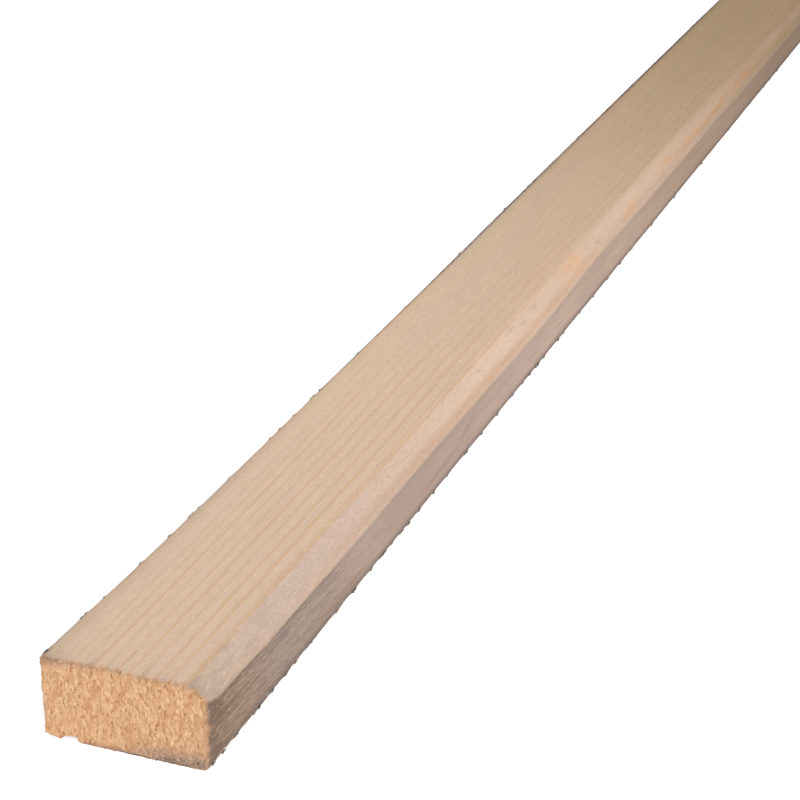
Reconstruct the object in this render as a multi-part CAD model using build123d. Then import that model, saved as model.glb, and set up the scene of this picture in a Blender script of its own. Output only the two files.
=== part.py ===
from build123d import *
import math
import os

# Furring strip: one sawn length of softwood, nominally one inch by two.
# It lies on its broad back face, which is Z = 0. X runs along the grain and Y across the face.
# The origin is under the middle of the strip. All sizes are in millimetres.

# Sawn size
LENGTH = 2438.4
WIDTH = 38.1
THICKNESS = 19.05

# Wane: the stretch of the log's own round surface that the saw left along one long edge.
# The log was slightly bowed, so the wane is smallest at the strip's ends and largest half way.
# Each pair is the width lost from the top face and the height lost from the side.
LOG_RADIUS = 95.0
WANE_WIDTH_AT_ENDS = 4.8
WANE_DROP_AT_ENDS = 4.9
WANE_WIDTH_HALF_WAY = 3.4
WANE_DROP_HALF_WAY = 10.6

# Wear on the edges
ARRIS_ROUND = 0.5
RUBBED_ARRIS_ROUND = 1.3
END_BREAK = 0.35

# Break-out under the front end: its place across the strip, and how wide, high and deep it is.
BREAKOUT_Y = 12.6
BREAKOUT_WIDTH = 4.1
BREAKOUT_HEIGHT = 1.5
BREAKOUT_DEPTH = 7.0

# How far a cutting shape reaches past what it cuts
CLEAR = 6.0


def sawn_blank():
    """The strip before its wane: the long arrises that stay are worn round, the ends' edges broken."""
    blank = Box(LENGTH, WIDTH, THICKNESS, align=(Align.CENTER, Align.CENTER, Align.MIN))
    long_edges = blank.edges().filter_by(Axis.X)
    top_left = long_edges.sort_by(Axis.Z)[2:].sort_by(Axis.Y)[-1]
    bottom_left = long_edges.sort_by(Axis.Z)[:2].sort_by(Axis.Y)[-1]
    bottom_right = long_edges.sort_by(Axis.Z)[:2].sort_by(Axis.Y)[0]
    blank = fillet([top_left, bottom_left], ARRIS_ROUND)
    rubbed = blank.edges().filter_by(Axis.X).sort_by_distance(bottom_right.center())[0]
    blank = fillet(rubbed, RUBBED_ARRIS_ROUND)
    end_faces = blank.faces().filter_by(Axis.X)
    return chamfer(end_faces.edges(), END_BREAK)


def outside_the_log(x, wane_width, wane_drop):
    """What lies outside the log, in the plane across the strip at x: bounded by the log's circle.

    The circle goes through the wane's two edges, one on the top face and one on the side.
    """
    upper = Vector(0, wane_width - WIDTH / 2, THICKNESS)
    lower = Vector(0, -WIDTH / 2, THICKNESS - wane_drop)
    half_chord = (upper - lower).length / 2
    outward = Vector(0, -wane_drop, wane_width).normalized()
    along = (upper - lower).normalized()
    pith = (upper + lower) * 0.5 - outward * math.sqrt(LOG_RADIUS**2 - half_chord**2)
    reach = math.asin(half_chord / LOG_RADIUS) + CLEAR / LOG_RADIUS

    def on_log(angle):
        return pith + outward * (LOG_RADIUS * math.cos(angle)) + along * (LOG_RADIUS * math.sin(angle))

    start, middle, finish = on_log(-reach), on_log(0), on_log(reach)
    step_out = outward * (half_chord + CLEAR)
    outline = Wire(
        [
            ThreePointArc(start, middle, finish),
            Line(finish, finish + step_out),
            Line(finish + step_out, start + step_out),
            Line(start + step_out, start),
        ]
    )
    return Pos(x, 0, 0) * Face(outline)


def wane_waste():
    """The waste outside the bowed log, carried smoothly from end to end of the strip."""
    past_end = LENGTH / 2 + CLEAR
    return loft(
        [
            outside_the_log(-past_end, WANE_WIDTH_AT_ENDS, WANE_DROP_AT_ENDS),
            outside_the_log(0, WANE_WIDTH_HALF_WAY, WANE_DROP_HALF_WAY),
            outside_the_log(past_end, WANE_WIDTH_AT_ENDS, WANE_DROP_AT_ENDS),
        ]
    )


def breakout_waste():
    """A round gouge that starts at the front end's lower edge and runs out in the back face."""
    radius = (BREAKOUT_WIDTH**2 / 4 + BREAKOUT_HEIGHT**2) / (2 * BREAKOUT_HEIGHT)
    slope = math.atan2(BREAKOUT_HEIGHT, BREAKOUT_DEPTH)
    gouge = Cylinder(radius, 2 * (BREAKOUT_DEPTH + CLEAR), rotation=(0, 90, 0))
    at_end = Pos(-LENGTH / 2, BREAKOUT_Y, BREAKOUT_HEIGHT - radius / math.cos(slope))
    return at_end * Rot(0, math.degrees(slope), 0) * gouge


def furring_strip():
    """The sawn strip, less the wane and the break-out."""
    return (sawn_blank() - wane_waste() - breakout_waste()).solid()


strip = furring_strip()
strip.label = "furring_strip"
os.makedirs("parts", exist_ok=True)
export_step(strip, "parts/furring_strip.step")
print("furring_strip", strip.bounding_box().size, "mm, volume", round(strip.volume), "mm3")
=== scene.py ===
# %% [markdown]
# A furring strip is one sawn length of softwood that carpenters nail to a wall to carry boards.
# This lesson dresses the plain CAD strip: its planed face, the log's own round surface along one
# edge, the rough-sawn sides, the crumbly end grain, and the torn fibres along its edges.
# The CAD model is loaded first, because it fixes the size and the place of everything else.

# %% Load the packed model
import math

import bpy
import numpy as np
from mathutils import Matrix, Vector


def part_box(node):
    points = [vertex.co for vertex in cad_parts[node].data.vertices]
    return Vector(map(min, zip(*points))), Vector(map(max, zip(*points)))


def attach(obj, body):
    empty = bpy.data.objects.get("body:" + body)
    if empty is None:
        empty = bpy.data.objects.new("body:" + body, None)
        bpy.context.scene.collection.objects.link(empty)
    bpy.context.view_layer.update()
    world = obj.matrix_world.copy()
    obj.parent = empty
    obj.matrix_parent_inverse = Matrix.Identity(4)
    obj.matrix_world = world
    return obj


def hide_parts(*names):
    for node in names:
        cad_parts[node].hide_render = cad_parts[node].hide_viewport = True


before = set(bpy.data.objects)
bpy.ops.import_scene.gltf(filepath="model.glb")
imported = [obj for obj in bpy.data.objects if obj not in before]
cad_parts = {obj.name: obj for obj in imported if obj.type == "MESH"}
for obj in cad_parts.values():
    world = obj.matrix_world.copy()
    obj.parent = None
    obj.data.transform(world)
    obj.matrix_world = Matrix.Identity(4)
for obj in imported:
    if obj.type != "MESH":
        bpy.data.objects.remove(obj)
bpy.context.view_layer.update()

low, high = (1000 * np.array(corner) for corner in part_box("furring_strip"))
LENGTH, WIDTH, THICKNESS = high - low
print("strip, mm:", LENGTH.round(2), WIDTH.round(2), THICKNESS.round(2))

# %% [markdown]
# Wood is never quite regular, so nearly every step below needs smooth random numbers. They could
# come from a texture, but a mesh needs them as an array. A block of random numbers is read between
# its cells, so a point always gets the same value. Long cells make long lumps, as fibres are.

# %% Smooth random numbers
CELLS = 32
block = np.random.default_rng(7).random((CELLS, CELLS, CELLS))


def lumps(points, size, shift=0.0):
    """Smooth random heights from -1 to 1, lumps of about this size in mm (along, across, up).

    The eight corners of the point's cell are blended, each weighted by 3t^2 - 2t^3 along each side.
    """
    place = points / np.array(size, dtype=float) + shift
    cell = np.floor(place).astype(int)
    t = place - cell
    t = t * t * (3 - 2 * t)
    total = 0.0
    for corner in np.ndindex(2, 2, 2):
        weight = np.prod(np.where(corner, t, 1 - t), axis=-1)
        a, b, c = np.moveaxis((cell + corner) % CELLS, -1, 0)
        total = total + weight * block[a, b, c]
    return 2 * total - 1


print("random block:", block.shape, "mean", block.mean().round(3))

# %% [markdown]
# The wane is the stretch of the log's round surface that the saw left along the right top edge.
# The log was bowed, so the wane is wide and shallow at the ends and steep half way. The sizes are
# those of the CAD solid. The photographed stretch also has a few bumps of its own, added as soft
# hills on the lower edge: each has its place from the front end, its half length and its height.

# %% The wane's edges
WANE_WIDTH_AT_ENDS, WANE_WIDTH_HALF_WAY = 4.8, 3.4
WANE_DROP_AT_ENDS, WANE_DROP_HALF_WAY = 4.9, 10.6
LOG_RADIUS = 95.0
LOG_BUMPS = ((0, 4.5, -2.1), (14, 12, -0.4), (80, 48, 0.62), (215, 60, 0.75), (290, 36, -0.9),
             (335, 35, -0.3), (500, 110, -0.95), (520, 60, 0.6))


def hill(s, place, half_length):
    """A soft hill of height 1: the bell curve exp(-((s - place) / half_length)^2)."""
    return np.exp(-(((s - place) / half_length) ** 2))


def wane(s):
    """The wane's width on the top face and its drop down the side, s mm from the front end.

    Each goes from its value half way to its value at the ends as a power of the distance.
    """
    off_middle = np.abs(s / LENGTH * 2 - 1)
    width = WANE_WIDTH_HALF_WAY + (WANE_WIDTH_AT_ENDS - WANE_WIDTH_HALF_WAY) * off_middle**1.5
    drop = WANE_DROP_HALF_WAY + (WANE_DROP_AT_ENDS - WANE_DROP_HALF_WAY) * off_middle**1.7
    wave = np.stack([s, 0 * s, 0 * s], axis=-1)
    width = width + 0.25 * lumps(wave, (70, 1, 1), 3.3)
    drop = drop + 0.3 * lumps(wave, (90, 1, 1), 8.7)
    for place, half_length, height in LOG_BUMPS:
        drop = drop + height * hill(s, place, half_length)
    return width, drop


print("wane at the front end and half way:", *(np.round(wane(np.array([0.0, LENGTH / 2])), 2)))

# %% [markdown]
# The strip's surface is a function of two parameters: how far along the strip, and how far round
# its outline. The outline is cut into stretches: four flat faces, the rounded arrises between
# them and the wane. Stations along the strip are close together near the front end, where the
# camera is, and spread out by the same share each time, as steps of a geometric series do.

# %% Stations along the strip
FIRST_STEP, STRETCH = 0.9, 100.0
ROWS = 4
count = int(math.log(1 + LENGTH / STRETCH) / math.log(1 + FIRST_STEP / STRETCH))
series = STRETCH * ((1 + FIRST_STEP / STRETCH) ** np.arange(1, count) - 1)
near_end = np.array([0, 0.25, 0.7, 1.2, 1.8, 2.5])
far_end = LENGTH - np.array([0, 0.25, 1, 2, 4, 7, 11, 16])
stations = np.union1d(near_end, series[(series > 3) & (series < LENGTH - 20)])
stations = np.union1d(stations, far_end)
stations = np.union1d(stations, LENGTH * np.arange(1, ROWS) / ROWS)
print("stations:", len(stations), "steps from", np.diff(stations).min().round(2), "to",
      np.diff(stations).max().round(1), "mm")

# %% Stretches of the outline
ARRIS_ROUND, RUBBED_ROUND = 0.45, 1.3
STRETCHES = {"rubbed_b": 4, "back": 68, "back_left": 8, "left": 36, "top_left": 8, "top": 64,
             "wane": 16, "right": 32, "rubbed_a": 4}
starts = dict(zip(STRETCHES, np.cumsum([0, *STRETCHES.values()])))
ROUND = sum(STRETCHES.values())


def straight(s, start, finish, steps, out):
    """Points from start to finish, (y, z) each, in equal steps, and the way out of the wood."""
    share = np.arange(steps) / steps
    y = start[0] + share * (finish[0] - start[0]) + 0 * s
    z = start[1] + share * (finish[1] - start[1]) + 0 * s
    return y, z, out[0] + 0 * y, out[1] + 0 * y


def arc(s, centre, radius, first, last, steps):
    """Points on a circle from one angle to another, in degrees, and the way out at each."""
    angle = np.radians(first + (last - first) * np.arange(steps) / steps) + 0 * s
    out_y, out_z = np.cos(angle), np.sin(angle)
    return centre[0] + radius * out_y, centre[1] + radius * out_z, out_y, out_z


print("stretches:", {name: int(start) for name, start in starts.items()})

# %% The whole outline
END_BULGE = 0.8


def outline(s):
    """The outline at each station s: y, z and the way out, ROUND points from the rubbed arris on.

    The wane is the straight line between its edges, bowed out by chord^2 / (8 * log radius), and
    fuller just at the front end, where the saw left a knob: END_BULGE * exp(-s / 5) more.
    """
    s = s[:, None]
    n, half, top = STRETCHES, WIDTH / 2, THICKNESS
    width, drop = wane(s)
    a, r = ARRIS_ROUND, RUBBED_ROUND
    rubbed = (r - half, r)
    chord = np.hypot(width, drop)
    out = (-drop / chord, width / chord)
    share = np.arange(n["wane"]) / n["wane"]
    bow = (chord**2 / (8 * LOG_RADIUS) + END_BULGE * np.exp(-s / 5)) * 4 * share * (1 - share)
    log = straight(s, (width - half, top), (-half, top - drop), n["wane"], out)
    log = (log[0] + bow * out[0], log[1] + bow * out[1], log[2], log[3])
    parts = [
        arc(s, rubbed, r, 225, 270, n["rubbed_b"]),
        straight(s, (r - half, 0), (half - a, 0), n["back"], (0, -1)),
        arc(s, (half - a, a), a, -90, 0, n["back_left"]),
        straight(s, (half, a), (half, top - a), n["left"], (1, 0)),
        arc(s, (half - a, top - a), a, 0, 90, n["top_left"]),
        straight(s, (half - a, top), (width - half, top), n["top"], (0, 1)),
        log,
        straight(s, (-half, top - drop), (-half, r), n["right"], (-1, 0)),
        arc(s, rubbed, r, 180, 225, n["rubbed_a"]),
    ]
    return np.stack([np.concatenate(column, axis=1) for column in zip(*parts)], axis=-1)


section = outline(stations)
print("outline points per station:", section.shape[1])

# %% [markdown]
# Masks say which stretch each point belongs to. They become vertex attributes, so the one material
# can tell planed face, log surface, rough-sawn side and end grain apart, with a soft border.
# The wane's upper edge was never cut sharp: there the log rolls over into the planed face, so its
# outline is relaxed, each point moving towards the middle of its neighbours a few times.

# %% Masks and the soft upper edge of the wane


def stretch_mask(*names, soft=1):
    """1 on these stretches of the outline and 0 elsewhere, its borders averaged `soft` times."""
    mask = np.zeros(ROUND)
    for name in names:
        mask[starts[name]:starts[name] + STRETCHES[name]] = 1
    for _ in range(soft):
        mask = (np.roll(mask, 1) + 2 * mask + np.roll(mask, -1)) / 4
    return mask


near_roll = hill(np.arange(ROUND), starts["wane"], 1.8)[None, :, None]
for _ in range(4):
    neighbours = (np.roll(section, 1, axis=1) + np.roll(section, -1, axis=1)) / 2
    section = section + 0.6 * near_roll * (neighbours - section)
section[..., 2:] /= np.linalg.norm(section[..., 2:], axis=-1, keepdims=True)

s_grid = np.repeat(stations[:, None], ROUND, axis=1)
sawn_surface = np.stack([s_grid, section[..., 0], section[..., 1]], axis=-1)
way_out = np.stack([0 * s_grid, section[..., 2], section[..., 3]], axis=-1)
on_top = stretch_mask("top", "top_left")
on_wane = stretch_mask("wane")
on_right = stretch_mask("right", "rubbed_a", "rubbed_b")
on_rubbed = stretch_mask("rubbed_a", "rubbed_b", soft=3)
on_left = stretch_mask("left", "back_left")
on_back = stretch_mask("back")
print("points on each: top", on_top.sum(), "wane", on_wane.sum(), "right", on_right.sum())

# %% [markdown]
# Wear is how deep, in mm, the real surface lies below the ideal one. It is never negative, so the
# strip can't grow past its CAD box. The planed face is nearly true; the log surface undulates; the
# sawn faces are furrowed along the grain, most of all near the front end, where the saw tore them.
# The left side also stands in by about a millimetre, 50 to 250 mm from the front end.

# %% Wear on the long faces
CROOK, CROOK_START, CROOK_PLACE = 1.0, 5.0, 105.0
SECOND_BENDS = ((50, 25, 0.18), (240, 75, 0.28))
FUZZY_LENGTH = 70.0


def crook(s):
    """How far the left side stands in: the curve t exp(1 - t), 1 at its top, and two soft hills."""
    share = np.clip(s - CROOK_START, 0, None) / CROOK_PLACE
    hills = [height * hill(s, place, half_length) for place, half_length, height in SECOND_BENDS]
    return CROOK * share * np.exp(1 - share) + np.sum(hills, axis=0)


def wear_depth(p):
    """Depth of wear at each surface point: a share for each face, by its mask."""
    s = p[..., 0]
    planed = 0.04 + 0.03 * lumps(p, (60, 7, 7)) + 0.012 * lumps(p, (9, 0.9, 0.9), 2.2)
    log = 0.26 + 0.13 * lumps(p, (28, 5, 5), 4.1) + 0.07 * lumps(p, (6, 1.7, 1.7), 6.4)
    log = log + 0.035 * lumps(p, (3, 0.9, 0.9), 9.2)
    torn = 1 + 1.2 * np.exp(-s / FUZZY_LENGTH) * on_right
    torn = torn * (1 - 0.75 * on_rubbed) * (1 - 0.6 * np.exp(-s / 5))
    sawn = 0.11 + 0.05 * lumps(p, (22, 1.4, 1.4), 1.3) + 0.05 * lumps(p, (9, 0.8, 0.8), 5.9)
    stands_in = crook(s) + 0.35 * np.exp(-s / 60) * (1 - p[..., 2] / THICKNESS)
    depth = on_top * planed + on_wane * log + (on_right + on_left) * sawn * torn
    return depth + on_back * 0.5 * sawn + on_left * stands_in


wear = wear_depth(sawn_surface)
body = sawn_surface - way_out * wear[..., None]
print("wear, mm: least", wear.min().round(3), "most", wear.max().round(2))

# %% The top left edge follows the crook
EDGE_WIDTH = 3.0


def fade(distance, length):
    """1 at no distance, falling evenly to 0 over a length."""
    return np.clip(1 - distance / length, 0, 1)


edge = fade(WIDTH / 2 - sawn_surface[..., 1], EDGE_WIDTH)
body[..., 1] -= on_top * edge * crook(s_grid)
print("top left edge moved in by up to", crook(s_grid).max().round(2), "mm")

# %% [markdown]
# A saw leaves the edges of an end broken: a fine line all round, a ragged rim, and at this front
# end a notch below, where a splinter came away. A Boolean could cut it, but the surface is already
# an array of points, so the low points are simply lifted to the roof of the notch.

# %% Broken edges at the two ends
END_BREAK, TORN_RIM, TORN_LENGTH = 0.12, 0.17, 2.0
torn_rim = (1 + lumps(sawn_surface, (2, 1.1, 1.1), 7.7)) * (1 - 0.7 * on_back)
breaks = fade(s_grid, END_BREAK) * END_BREAK + TORN_RIM * fade(s_grid, TORN_LENGTH) ** 2 * torn_rim
breaks = breaks + fade(LENGTH - s_grid, END_BREAK) * END_BREAK
body -= way_out * breaks[..., None]
print("edges of the ends broken by up to", breaks.max().round(2), "mm")

# %% The break-out under the front edge, and the worn lower left corner
BREAKOUT_Y, BREAKOUT_WIDTH, BREAKOUT_HEIGHT, BREAKOUT_DEPTH = 12.6, 4.1, 1.5, 7.0
CORNER_Y, CORNER_WIDTH, CORNER_HEIGHT, CORNER_LENGTH = 14.7, 4.0, 0.7, 7.0
notch = 1 - np.abs((body[..., 1] - BREAKOUT_Y) / (BREAKOUT_WIDTH / 2)) ** 8
slant = 0.96 + 0.2 * (BREAKOUT_Y - body[..., 1]) / (BREAKOUT_WIDTH / 2)
rise = BREAKOUT_HEIGHT * slant * (1 - s_grid / BREAKOUT_DEPTH) * np.clip(notch, 0, 1)
corner = np.clip((body[..., 1] - CORNER_Y) / CORNER_WIDTH, 0, 1) * CORNER_HEIGHT
corner = corner * np.exp(-s_grid / CORNER_LENGTH)
underside = sawn_surface[..., 2] < 1.0
low_points = (on_back > 0.2) | underside
body[..., 2] = np.where(low_points, np.maximum(body[..., 2], np.maximum(rise, 0)), body[..., 2])
body[..., 2] += np.where(underside, corner, 0)
print("break-out reaches z =", rise.max().round(2), "mm")

# %% [markdown]
# An end is a four-sided patch fitted inside the end's ring of points. A Coons patch does that: it
# adds the two ways of blending opposite sides and takes off the blend of the corners. The front
# end was cut across the fibres with a coarse saw, so it is crumbled: lumps of half a millimetre.

# %% The two ends
SIDE_Y = STRETCHES["rubbed_b"] + STRETCHES["back"] + STRETCHES["back_left"] // 2
SIDE_Z = ROUND // 2 - SIDE_Y


def end_ring():
    """Index of each ring point on the border of the end's grid, (SIDE_Y + 1, SIDE_Z + 1)."""
    grid = np.full((SIDE_Y + 1, SIDE_Z + 1), -1)
    grid[:, 0] = np.arange(SIDE_Y + 1)
    grid[-1, :] = SIDE_Y + np.arange(SIDE_Z + 1)
    grid[:, -1] = SIDE_Y + SIDE_Z + np.arange(SIDE_Y, -1, -1)
    grid[0, :] = (ROUND - np.arange(SIDE_Z + 1)) % ROUND
    return grid


def coons(ring):
    """The patch inside a ring: (across blend) + (upward blend) - (corner blend)."""
    grid = ring[end_ring()]
    u = np.linspace(0, 1, SIDE_Y + 1)[:, None, None]
    v = np.linspace(0, 1, SIDE_Z + 1)[None, :, None]
    upward = (1 - v) * grid[:, :1] + v * grid[:, -1:]
    across = (1 - u) * grid[:1] + u * grid[-1:]
    corners = ((1 - u) * (1 - v) * grid[:1, :1] + u * (1 - v) * grid[-1:, :1]
               + (1 - u) * v * grid[:1, -1:] + u * v * grid[-1:, -1:])
    return upward + across - corners


front, far = coons(body[0]), coons(body[-1])
crumble = 0.30 + 0.15 * lumps(front, (1, 0.75, 0.75), 1.9) + 0.12 * lumps(front, (1, 2.1, 2.1), 5.5)
front[..., 0] += np.clip(crumble, 0.02, 1)
far[..., 0] -= 0.2 + 0.07 * lumps(far, (1, 0.8, 0.8), 3.1) + 0.05 * lumps(far, (1, 2.4, 2.4), 0.6)
print("front end crumbled by", crumble.min().round(2), "to", crumble.max().round(2), "mm")

# %% The walls follow the crumbled rims
RIM_SPAN = 3.0
border = end_ring() >= 0
push = np.zeros((2, ROUND))
push[0, end_ring()[border]] = front[border][:, 0]
push[1, end_ring()[border]] = far[border][:, 0] - LENGTH
body[..., 0] += fade(s_grid, RIM_SPAN) * push[0]
body[..., 0] += fade(LENGTH - s_grid, RIM_SPAN) * push[1]
print("least step along the strip:", np.diff(body[..., 0], axis=0).min().round(3), "mm")

# %% [markdown]
# Now the parts are put in one closed mesh. The long wall is a grid of quads, and each end adds its
# inner points. A map named OFBake is made for baking: the strip is far too long for one row, so its
# length is folded into four rows, with the two ends above them.

# %% One closed mesh


def wall_faces(rings, around):
    """Quads between neighbouring rings, corners in the order that faces outwards."""
    i, j = np.meshgrid(np.arange(rings - 1), np.arange(around), indexing="ij")
    k = (j + 1) % around
    corners = [i * around + j, i * around + k, (i + 1) * around + k, (i + 1) * around + j]
    return np.stack(corners, axis=-1).reshape(-1, 4)


def patch_faces(index, outward_x):
    """Quads of an end's grid of point numbers, turned to face along outward_x."""
    corners = [index[:-1, :-1], index[:-1, 1:], index[1:, 1:], index[1:, :-1]]
    return np.stack(corners[::-1] if outward_x > 0 else corners, axis=-1).reshape(-1, 4)


rings = len(stations)
ring_index = end_ring()
inner = ring_index < 0
front_index, far_index = ring_index.copy(), ring_index + (rings - 1) * ROUND
front_index[inner] = rings * ROUND + np.arange(inner.sum())
far_index[inner] = rings * ROUND + inner.sum() + np.arange(inner.sum())
points = np.concatenate([body.reshape(-1, 3), front[inner], far[inner]])
walls = wall_faces(rings, ROUND)
ends = [patch_faces(front_index, -1), patch_faces(far_index, 1)]
faces = np.concatenate([walls, *ends])
print("points", len(points), "quads", len(faces))

# %% The map for baking
ROW_SPACE, ROW_GAP, MARGIN = 0.19, 0.03, 0.01
END_SCALE, END_MIDDLES, END_FOOT = 0.0105, (0.25, 0.72), 0.78


def bake_map():
    """Map place of every face corner: four rows for the wall, two patches for the ends."""
    row_length = LENGTH / ROWS
    station = np.repeat(np.arange(rings - 1), ROUND)
    row = np.minimum((stations[station] + 0.01) // row_length, ROWS - 1)
    s = points[walls, 0]
    s[station == 0] = np.clip(s[station == 0], 0, None)
    place = np.tile(np.arange(ROUND), rings - 1)[:, None] + np.array([0, 1, 1, 0])
    u = MARGIN + (s - row[:, None] * row_length) / row_length * (1 - 2 * MARGIN)
    v = (row[:, None] + ROW_GAP + (1 - 2 * ROW_GAP) * place / ROUND) * ROW_SPACE
    wall_map = np.stack([u, v], axis=-1)
    end_maps = []
    for middle, quads in zip(END_MIDDLES, ends):
        y, z = points[quads, 1], points[quads, 2]
        end_maps.append(np.stack([middle + y * END_SCALE, END_FOOT + z * END_SCALE], axis=-1))
    return np.concatenate([wall_map, *end_maps])


places = bake_map()
print("map from", places.min().round(3), "to", places.max().round(3))

# %% [markdown]
# Every piece is made in the same way: its points are worked out in mm from the front end, which
# suits a carpenter, and moved to the frame's metres as the mesh is filled. All the pieces are the
# same wood on the same body.

# %% Pieces from arrays


def to_scene(points):
    """From mm along the strip from its front end to metres in the frame."""
    return (points - [LENGTH / 2, 0, 0]) / 1000


def new_object(name, data):
    """An object in the scene that shows a mesh, a light or a camera."""
    made = bpy.data.objects.new(name, data)
    bpy.context.scene.collection.objects.link(made)
    return made


def new_piece(name, points, faces, marks=None, places=None, sharp=None):
    """A mesh object from arrays, smooth shaded, riding on the strip's only body."""
    mesh = bpy.data.meshes.new(name)
    mesh.from_pydata(to_scene(points).tolist(), [], faces.tolist())
    mesh.polygons.foreach_set("use_smooth", np.ones(len(faces), dtype=bool))
    for mark, values in (marks or {}).items():
        layer = mesh.attributes.new(mark, "FLOAT", "POINT")
        layer.data.foreach_set("value", np.ascontiguousarray(values, dtype=np.float32).ravel())
    if places is not None:
        layer = mesh.uv_layers.new(name="OFBake")
        layer.data.foreach_set("uv", np.ascontiguousarray(places, dtype=np.float32).ravel())
    if sharp is not None:
        mesh.set_sharp_from_angle(angle=math.radians(sharp))
    piece = new_object(name, mesh)
    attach(piece, "root")
    return piece


print("the front end stands at, m:", to_scene(np.zeros(3)))

# %% [markdown]
# The marks tell the material where it is: on the log surface, on a sawn face or on an end, and how
# far down the wane. The end's look creeps over the rim in ragged tongues, because fibres broke out
# there. A mark is a vertex attribute, kept with the mesh.

# %% Marks for the looks
rim_reach = 0.8 + 0.85 * (1 + lumps(sawn_surface, (9, 1.1, 1.1), 4.4)) ** 2
wane_place = (np.arange(ROUND) - starts["wane"]) / STRETCHES["wane"]
wall_marks = {
    "wane": np.broadcast_to(np.maximum(on_wane, np.roll(on_wane, -1)), s_grid.shape),
    "rough": np.broadcast_to(on_right + on_left + on_back, s_grid.shape),
    "end": np.clip(1.3 * (1 - s_grid / rim_reach), 0, 1) + fade(LENGTH - s_grid, 0.4),
    "down": np.broadcast_to(np.clip(wane_place, -1, 2), s_grid.shape),
}

# %% [markdown]
# Two more marks hold what happened to this strip: warm streaks in the wood, and grime with some
# painted shade. Each is a list of soft spots. A spot on a long face has its place along the strip
# and down the wane (or up the side), its half sizes, its slope and its strength. One on the end has
# no slope, and one on the end's top rim has only its place across, its half size and its strength.

# %% Streaks and stains, as spots
WANE_STREAKS = ((190, 0.80, 125, 0.14, 0.0, 0.85), (271, 0.34, 10, 0.36, 0.020, 0.75),
                (279.5, 0.42, 4.5, 0.40, 0.07, 1.0), (341, 0.65, 10, 0.14, -0.011, 1.0),
                (396, 0.42, 9, 0.10, 0.010, 0.9), (500, 0.57, 115, 0.13, 0.0, 1.0))
SIDE_STREAKS = ((75, 3.4, 16, 0.9, 0.0, 1.0), (143, 5.0, 14, 0.6, 0.04, 0.9),
                (166, 8.3, 7, 0.8, 0.30, 0.9))
END_STAINS = ((-12.0, 0.9, 9.5, 2.6, 0.93), (-17.0, 1.4, 3.2, 2.6, 0.93),
              (-18.8, 4.0, 0.5, 2.2, 0.5), (-18.8, 12.6, 0.4, 1.6, 0.35),
              (3.0, 0.1, 9.0, 0.9, 0.85), (-6.0, 0.0, 18.0, 0.85, 1.25),
              (16.5, 18.8, 4.5, 1.0, 0.6), (9.0, 18.7, 2.0, 0.5, 0.25),
              (19.0, 10.0, 0.5, 10.0, 0.6), (-17.5, 9.0, 2.4, 6.0, 0.16),
              (-5.0, 4.5, 10.0, 3.0, 0.12))
RIM_SPOTS = ((7.6, 0.8, 0.75), (3.8, 0.45, 0.55), (-4.3, 0.6, 0.7), (-8.8, 0.7, 0.5))
WANE_PITS = ((183, 0.30, 1.8, 0.07, 0.0, 0.30), (213, 0.18, 2.2, 0.07, 0.0, 0.40),
             (223, 0.36, 2.4, 0.07, 0.0, 0.35), (234, 0.22, 2.2, 0.08, 0.0, 0.35),
             (285, 0.62, 2.4, 0.05, -0.01, 0.40), (302, 0.50, 1.8, 0.08, 0.0, 0.50))


print("spots:", len(WANE_STREAKS + SIDE_STREAKS + END_STAINS + RIM_SPOTS + WANE_PITS))

# %% The strongest of some spots


def strongest(spots, x, v):
    """The strongest of the spots at (x, v): each a bell curve across its line and one along it."""
    values = [strength * hill(v - slope * (x - place_x), place_v, half_v) * hill(x, place_x, half_x)
              for place_x, place_v, half_x, half_v, slope, strength in spots]
    return np.max(values, axis=0)


def end_stain(y, z):
    """Grime on the front end: the strongest of its spots (y, z, half sizes, strength)."""
    return strongest([(a, b, c, d, 0.0, e) for a, b, c, d, e in END_STAINS], y, z)


def rise_over(start, length):
    """0 up to a distance from the front end, then rising evenly to 1 over a length."""
    return np.clip((s_grid - start) / length, 0, 1)


print("stain low on the end's right:", end_stain(-WIDTH / 2, 1.0).round(2))

# %% Marks for streaks, grime and painted shade
wall_marks["warm"] = np.where(on_wane > 0.5, strongest(WANE_STREAKS, s_grid, wane_place[None]),
                              on_right * strongest(SIDE_STREAKS, s_grid, sawn_surface[..., 2]))
lower_right, upper_left = stretch_mask("rubbed_a", "rubbed_b"), stretch_mask("top_left")
lower_right = np.maximum(lower_right, 0.6 * np.roll(lower_right, -1))
upper_left = np.maximum(upper_left, np.roll(upper_left, 1))
upper_left = np.maximum(upper_left, 0.7 * np.roll(upper_left, 1) * rise_over(160, 90))
patchy = 0.85 + 0.35 * lumps(sawn_surface, (11, 40, 40), 2.9)
along_edge = 0.35 + 0.80 * rise_over(0, 180) + 0.8 * rise_over(170, 100)
along_edge = along_edge * (1 - 0.75 * rise_over(590, 80))
# The lower arris's dark line is partly grime on the rubbed wood, partly painted shade where the
# strip meets the floor.
edge_grime_and_shade = 1.2 * lower_right + 0.5 * stretch_mask("back_left") + upper_left * along_edge
edge_grime_and_shade = edge_grime_and_shade * patchy
across = sawn_surface[..., 1]
corner_blot = 1.2 * hill(s_grid, 3.0, 1.8) * hill(across, 18.9, 0.9) * (on_top > 0)
rim_spots = np.max([strength * hill(across, y, half) for y, half, strength in RIM_SPOTS], axis=0)
rim_spots = 0.12 + 0.10 * on_wane + 0.36 * hill(across, 16, 4) + rim_spots
rim_grime = np.exp(-s_grid / 2.4) * rim_spots
pitted = np.clip(0.55 + 0.9 * lumps(sawn_surface, (5, 1.6, 1.6), 6.1), 0, 1.2)
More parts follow.
